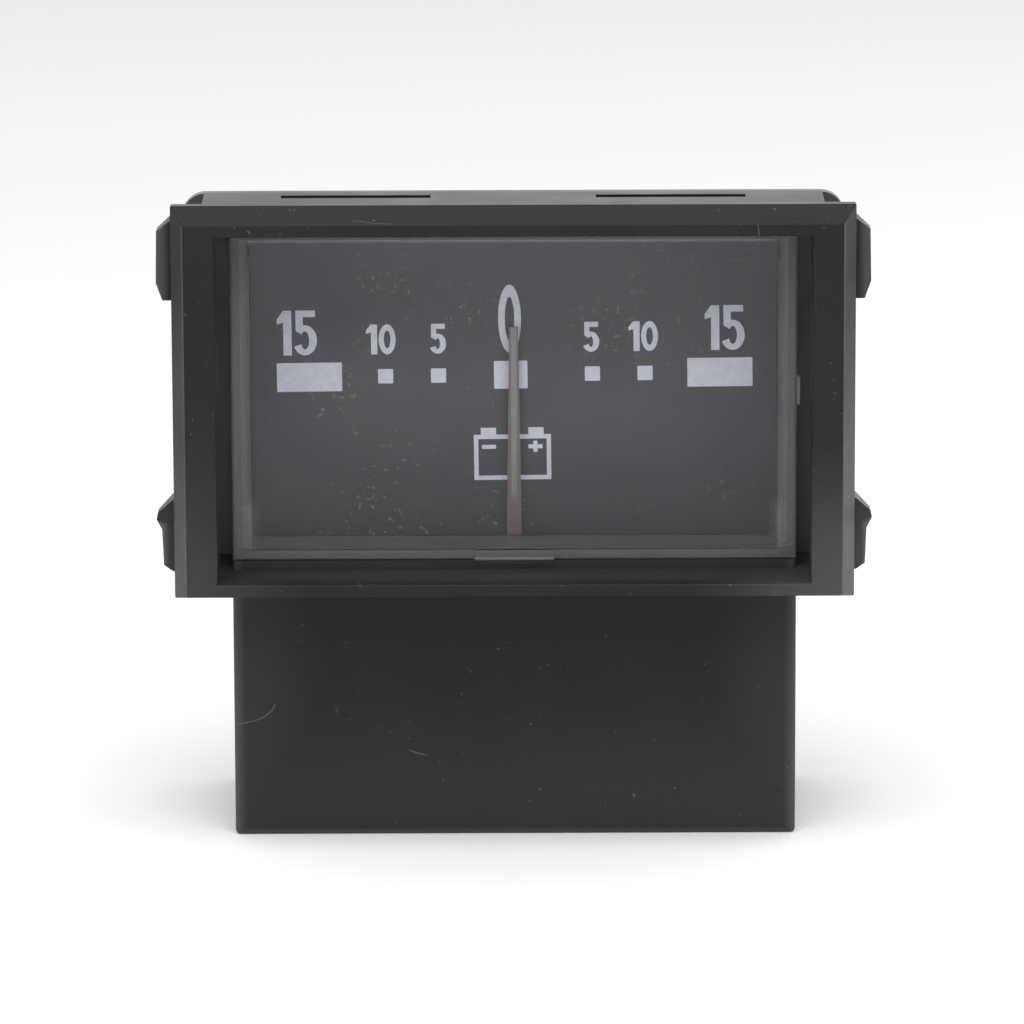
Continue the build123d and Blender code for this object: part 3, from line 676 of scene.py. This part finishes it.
def print_on_dial(name, flat):
    """Give a flat bmesh, drawn in metres about the row's middle, its thickness, and place it."""
    bmesh.ops.recalc_face_normals(flat, faces=flat.faces)
    if flat.faces[:] and sum(face.normal.z * face.calc_area() for face in flat.faces) < 0:
        bmesh.ops.reverse_faces(flat, faces=flat.faces)
    top = bmesh.ops.extrude_face_region(flat, geom=flat.faces[:])["geom"]
    raised = [item for item in top if isinstance(item, bmesh.types.BMVert)]
    bmesh.ops.translate(flat, verts=raised, vec=(0, 0, INK))
    bmesh.ops.recalc_face_normals(flat, faces=flat.faces)
    bmesh.ops.transform(flat, matrix=to_dial, verts=flat.verts)
    mesh = bpy.data.meshes.new(name)
    flat.to_mesh(mesh)
    flat.free()
    piece = bpy.data.objects.new(name, mesh)
    bpy.context.collection.objects.link(piece)
    mesh.materials.append(ink)
    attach(piece, "gauge")
    return piece


print("ink stands", INK / MM, "mm proud")

# %% [markdown]
# ### Bars, squares and the battery sign
#
# These are rectangles with slightly rounded corners, which is how ink spreads. A rectangle is a grid
# of one face, scaled to size, with its corners bevelled. A frame, as in the battery sign, is the same
# rectangle inset by its line width, with the middle taken out.

# %% Rectangles
def rectangle(flat, x, z, width, height, corner=0.08, line=None):
    """Add a rectangle about (x, z) in millimetres; with a line it is only an outline."""
    made = bmesh.ops.create_grid(flat, x_segments=1, y_segments=1, size=0.5)["verts"]
    size = Matrix.Diagonal((width * MM, height * MM, 1, 1))
    bmesh.ops.transform(flat, matrix=Matrix.Translation((x * MM, z * MM, 0)) @ size, verts=made)
    face = made[0].link_faces[0]
    if line:
        rim = bmesh.ops.inset_individual(flat, faces=[face], thickness=line * MM)["faces"]
        bmesh.ops.delete(flat, geom=[face], context="FACES_ONLY")
        return rim
    bmesh.ops.bevel(
        flat, geom=made, offset=corner * MM, affect="VERTICES", segments=3, profile=0.5, material=-1
    )
    return [face]


ROW = -0.95
BAR, SQUARE = (6.7, 3.0), (1.56, 1.5)
# Each mark's middle, in millimetres to the right of the spindle, and its width and height.
marks = {
    "mark_15_left": (-21.03, BAR),
    "mark_10_left": (-13.2, SQUARE),
    "mark_5_left": (-7.75, SQUARE),
    "mark_zero": (-0.32, (3.45, 2.9)),
    "mark_5_right": (8.08, SQUARE),
    "mark_10_right": (13.5, SQUARE),
    "mark_15_right": (21.2, BAR),
}
for name, (x, (width, height)) in marks.items():
    mark = bmesh.new()
    rectangle(mark, x, ROW, width, height)
    print_on_dial(name, mark)
print(len(marks), "marks")

# %% Battery sign
SIGN, SIGN_X, SIGN_LINE = -9.6, -0.24, 0.64
POLE_RISE, POLE = 2.74, (1.58, 0.72)
MINUS_X, PLUS_X = SIGN_X - 2.42, SIGN_X + 2.37
STROKE_RISE, STROKE, STUB = 1.1, (1.45, 0.42), (0.44, 0.38)
battery = bmesh.new()
rectangle(battery, SIGN_X, SIGN, 7.95, 4.75, line=SIGN_LINE)
for x in (-2.46, 2.44):
    rectangle(battery, SIGN_X + x, SIGN + POLE_RISE, *POLE)
rectangle(battery, MINUS_X, SIGN + STROKE_RISE, *STROKE)
rectangle(battery, PLUS_X, SIGN + STROKE_RISE, *STROKE, corner=0.05)
for rise in (0.4, -0.4):
    rectangle(battery, PLUS_X, SIGN + STROKE_RISE + rise, *STUB, corner=0.05)
print_on_dial("battery_sign", battery)
print("battery sign")

# %% [markdown]
# ### Numbers
#
# The numbers are a heavy, slightly narrow sans, and each digit is one pen stroke made solid. A "1" is
# a stem whose top is extruded sideways into a flag. A "0" is two ellipses bridged into a ring. A "5"
# starts as one short edge, spun about the middle of its bowl; the bowl's left shoulder is then
# extruded up to make the neck, and the neck's top is extruded across to make the bar.

# %% Digits one and nought
def pulled(flat, edge, places):
    """Extrude one edge; the two new corners go to the given places, left or low one first."""
    new = bmesh.ops.extrude_edge_only(flat, edges=[edge])["geom"]
    corners = [item for item in new if isinstance(item, bmesh.types.BMVert)]
    corners.sort(key=lambda corner: (round(corner.co.x / MM, 3), corner.co.y))
    for corner, (x, z) in zip(corners, places):
        corner.co = (x * MM, z * MM, 0)
    return next(item for item in new if isinstance(item, bmesh.types.BMEdge))


def one(flat, x, z, width, height, stem):
    """A "1" whose lower left corner is at (x, z)."""
    made = bmesh.ops.create_grid(flat, x_segments=1, y_segments=1, size=0.5)["verts"]
    neck = 0.74 * height
    middle = Matrix.Translation(((x + width - stem / 2) * MM, (z + neck / 2) * MM, 0))
    bmesh.ops.transform(flat, matrix=middle @ Matrix.Diagonal((stem * MM, neck * MM, 1, 1)), verts=made)
    top = max(made[0].link_faces[0].edges, key=lambda edge: sum(vert.co.y for vert in edge.verts))
    left, right = x + width - stem, x + width
    head = pulled(flat, top, [(left, z + height), (right, z + height)])
    flag_root = min(head.link_faces[0].edges, key=lambda edge: sum(vert.co.x for vert in edge.verts))
    pulled(flat, flag_root, [(x + 0.02 * width, z + 0.69 * height), (x, z + 0.80 * height)])


def nought(flat, x, z, width, height, hole_width, hole_height):
    """A "0" whose lower left corner is at (x, z)."""
    middle = Matrix.Translation(((x + width / 2) * MM, (z + height / 2) * MM, 0))
    rings = []
    for across, tall in ((width, height), (hole_width, hole_height)):
        ring = bmesh.ops.create_circle(flat, segments=40, radius=0.5)["verts"]
        size = Matrix.Diagonal((across * MM, tall * MM, 1, 1))
        bmesh.ops.transform(flat, matrix=middle @ size, verts=ring)
        rings += {edge for vert in ring for edge in vert.link_edges}
    bmesh.ops.bridge_loops(flat, edges=rings)


print("one and nought ready")

# %% Digit five
BOWL_HALF_HEIGHT = 0.335
THIN_STROKE, BAR_STROKE = 0.78, 0.86
BOWL_START, BOWL_SWEEP = math.radians(140), math.radians(-295)


def five(flat, x, z, width, height, stroke):
    """A "5" whose lower left corner is at (x, z)."""
    outer = Vector((width / 2, BOWL_HALF_HEIGHT * height))
    inner = outer - Vector((1.0, THIN_STROKE)) * stroke
    turn = Matrix.Rotation(BOWL_START, 4, "Z")
    ends = [flat.verts.new(turn @ Vector((reach, 0, 0))) for reach in (inner.x / outer.x, 1.0)]
    first = flat.edges.new(ends)
    before = set(flat.verts) - set(ends)
    around = {"cent": (0, 0, 0), "axis": (0, 0, 1), "angle": BOWL_SWEEP, "steps": 36}
    bmesh.ops.spin(flat, geom=[first, *ends], **around)
    swept = [vert for vert in flat.verts if vert not in before]
    rim = {vert for vert in swept if vert.co.length > 0.999}
    shoulder = [vert for vert in rim if vert.co.x < -0.13 and vert.co.y > 0.5]
    thin = (inner.y / outer.y) / (inner.x / outer.x)
    inside = [vert for vert in swept if vert not in rim]
    bmesh.ops.transform(flat, matrix=Matrix.Diagonal((1, thin, 1, 1)), verts=inside)
    bowl = Matrix.Translation(((x + outer.x) * MM, (z + outer.y) * MM, 0))
    size = Matrix.Diagonal((outer.x * MM, outer.y * MM, 1, 1))
    bmesh.ops.transform(flat, matrix=bowl @ size, verts=swept)
    edges = {edge for vert in shoulder for edge in vert.link_edges if edge.other_vert(vert) in shoulder}
    top, low_bar = (z + height) * MM, (z + height - BAR_STROKE * stroke) * MM
    for level in (low_bar, top):
        new = bmesh.ops.extrude_edge_only(flat, edges=list(edges))["geom"]
        raised = {item for item in new if isinstance(item, bmesh.types.BMVert)}
        for vert in raised:
            vert.co.y = level
        edges = {edge for vert in raised for edge in vert.link_edges if edge.other_vert(vert) in raised}
    corner = max(raised, key=lambda vert: vert.co.x)
    bar_root = next(edge for edge in corner.link_edges if edge.other_vert(corner) not in raised)
    bar_end = x + 0.94 * width
    pulled(flat, bar_root, [(bar_end, low_bar / MM), (bar_end, top / MM)])


print("five ready")

# %% Print the numbers
BASE_LINE = 1.35
TALL, SHORT = 4.68, 3.12
for word, x15, x10, x5 in (("left", -22.25, -13.64, -7.8), ("right", 21.72, 13.34, 7.95)):
    fifteen = bmesh.new()
    one(fifteen, x15 - 2.06, BASE_LINE, width=1.52, height=TALL, stem=0.86)
    five(fifteen, x15 - 0.40, BASE_LINE, width=2.46, height=TALL, stroke=0.80)
    print_on_dial(f"number_15_{word}", fifteen)
    ten = bmesh.new()
    one(ten, x10 - 1.52, BASE_LINE, width=1.16, height=SHORT, stem=0.64)
    nought(ten, x10 - 0.21, BASE_LINE, width=1.74, height=SHORT, hole_width=0.70, hole_height=1.85)
    print_on_dial(f"number_10_{word}", ten)
    single = bmesh.new()
    five(single, x5 - 0.86, BASE_LINE, width=1.73, height=SHORT, stroke=0.62)
    print_on_dial(f"number_5_{word}", single)
tall_zero = bmesh.new()
nought(tall_zero, -1.55, BASE_LINE, width=2.36, height=7.1, hole_width=0.97, hole_height=4.6)
print_on_dial("number_zero", tall_zero)
print("seven numbers")

# %% [markdown]
# ## Light and view
#
# Black plastic shows what it reflects, so the room matters more than the lamps. The sky is a white
# tent: brightest low behind the gauge, so faces seen at a low angle pick it up, and evenly lit in
# front, so light reaches the recessed dial. Two soft lamps shape it: one above, and a weak low one
# to the right, which makes the right side of the frame a little paler than the left.

# %% Floor
floor_mesh = bpy.data.meshes.new("floor")
floor_shape = bmesh.new()
bmesh.ops.create_grid(floor_shape, x_segments=1, y_segments=1, size=6.0)
floor_shape.to_mesh(floor_mesh)
floor_shape.free()
floor = bpy.data.objects.new("floor", floor_mesh)
floor.location.z = cad_box[0][2]
bpy.context.collection.objects.link(floor)
floor_paint, floor_output = new_material("pale_floor")
floor_shader = add_node(floor_paint, "BsdfPrincipled", Roughness=0.9)
floor_shader.inputs["Base Color"].default_value = (0.93, 0.93, 0.93, 1.0)
show(floor_paint, floor_shader, floor_output)
floor_mesh.materials.append(floor_paint)
print("floor at", floor.location.z)

# %% Sky
sky = bpy.data.worlds.new("studio")
bpy.context.scene.world = sky
sky.use_nodes = True
tree = sky.node_tree
tree.nodes.clear()
FRONT, REAR, OVERHEAD = 1.0, 1.68, 0.5


def sky_node(kind, **settings):
    node = tree.nodes.new("ShaderNode" + kind)
    for key, value in settings.items():
        setattr(node, key, value)
    return node


def sky_range(source, low, high, to_low, to_high):
    """Smooth step of one direction axis between two levels."""
    node = sky_node("MapRange", interpolation_type="SMOOTHSTEP")
    for key, value in (("From Min", low), ("From Max", high), ("To Min", to_low), ("To Max", to_high)):
        node.inputs[key].default_value = value
    tree.links.new(source, node.inputs["Value"])
    return node.outputs["Result"]


axes = sky_node("SeparateXYZ")
tree.links.new(sky_node("TexCoord").outputs["Generated"], axes.inputs["Vector"])
level = sky_node("Math", operation="MULTIPLY")
tree.links.new(sky_range(axes.outputs["Y"], -0.5, 0.2, FRONT, REAR), level.inputs[0])
tree.links.new(sky_range(axes.outputs["Z"], 0.25, 0.8, 1.0, OVERHEAD), level.inputs[1])
backdrop = sky_node("Background")
tree.links.new(level.outputs["Value"], backdrop.inputs["Strength"])
tree.links.new(backdrop.outputs["Background"], sky_node("OutputWorld").inputs["Surface"])
print("sky", FRONT, "in front,", REAR, "behind")

# %% Lamps
def soft_lamp(name, place, aim, size, power):
    """Square area lamp aimed at a point."""
    lamp = bpy.data.lights.new(name, "AREA")
    lamp.size = size
    lamp.energy = power
    holder = bpy.data.objects.new(name, lamp)
    holder.location = place
    holder.rotation_euler = (Vector(aim) - Vector(place)).to_track_quat("-Z", "Y").to_euler()
    bpy.context.collection.objects.link(holder)


middle = (Vector(cad_box[0]) + Vector(cad_box[1])) / 2
soft_lamp("overhead", middle + Vector((0, -0.35, 0.6)), middle, size=0.7, power=4.6)
soft_lamp("low_right", middle + Vector((0.42, 0.42, 0.06)), middle, size=0.25, power=0.35)
print("two soft lamps")

# %% Camera
camera_data = bpy.data.cameras.new("camera")
camera_data.sensor_width = 36.0
camera_data.lens = 247.3
camera_data.shift_x = -0.0022
camera_data.clip_end = 50
camera = bpy.data.objects.new("camera", camera_data)
DISTANCE = 0.7092
ELEVATION = math.radians(12)
ROLL = math.radians(0.2)
aim = Vector((0, frame_low.y, 35.565 * MM))
camera.location = aim + DISTANCE * Vector((0, -math.cos(ELEVATION), math.sin(ELEVATION)))
look = Matrix.Rotation(math.pi / 2 - ELEVATION, 4, "X") @ Matrix.Rotation(-ROLL, 4, "Z")
camera.rotation_euler = look.to_euler()
bpy.context.collection.objects.link(camera)
bpy.context.scene.camera = camera
bpy.context.scene.view_settings.view_transform = "Standard"
print("camera", [round(v, 3) for v in camera.location])
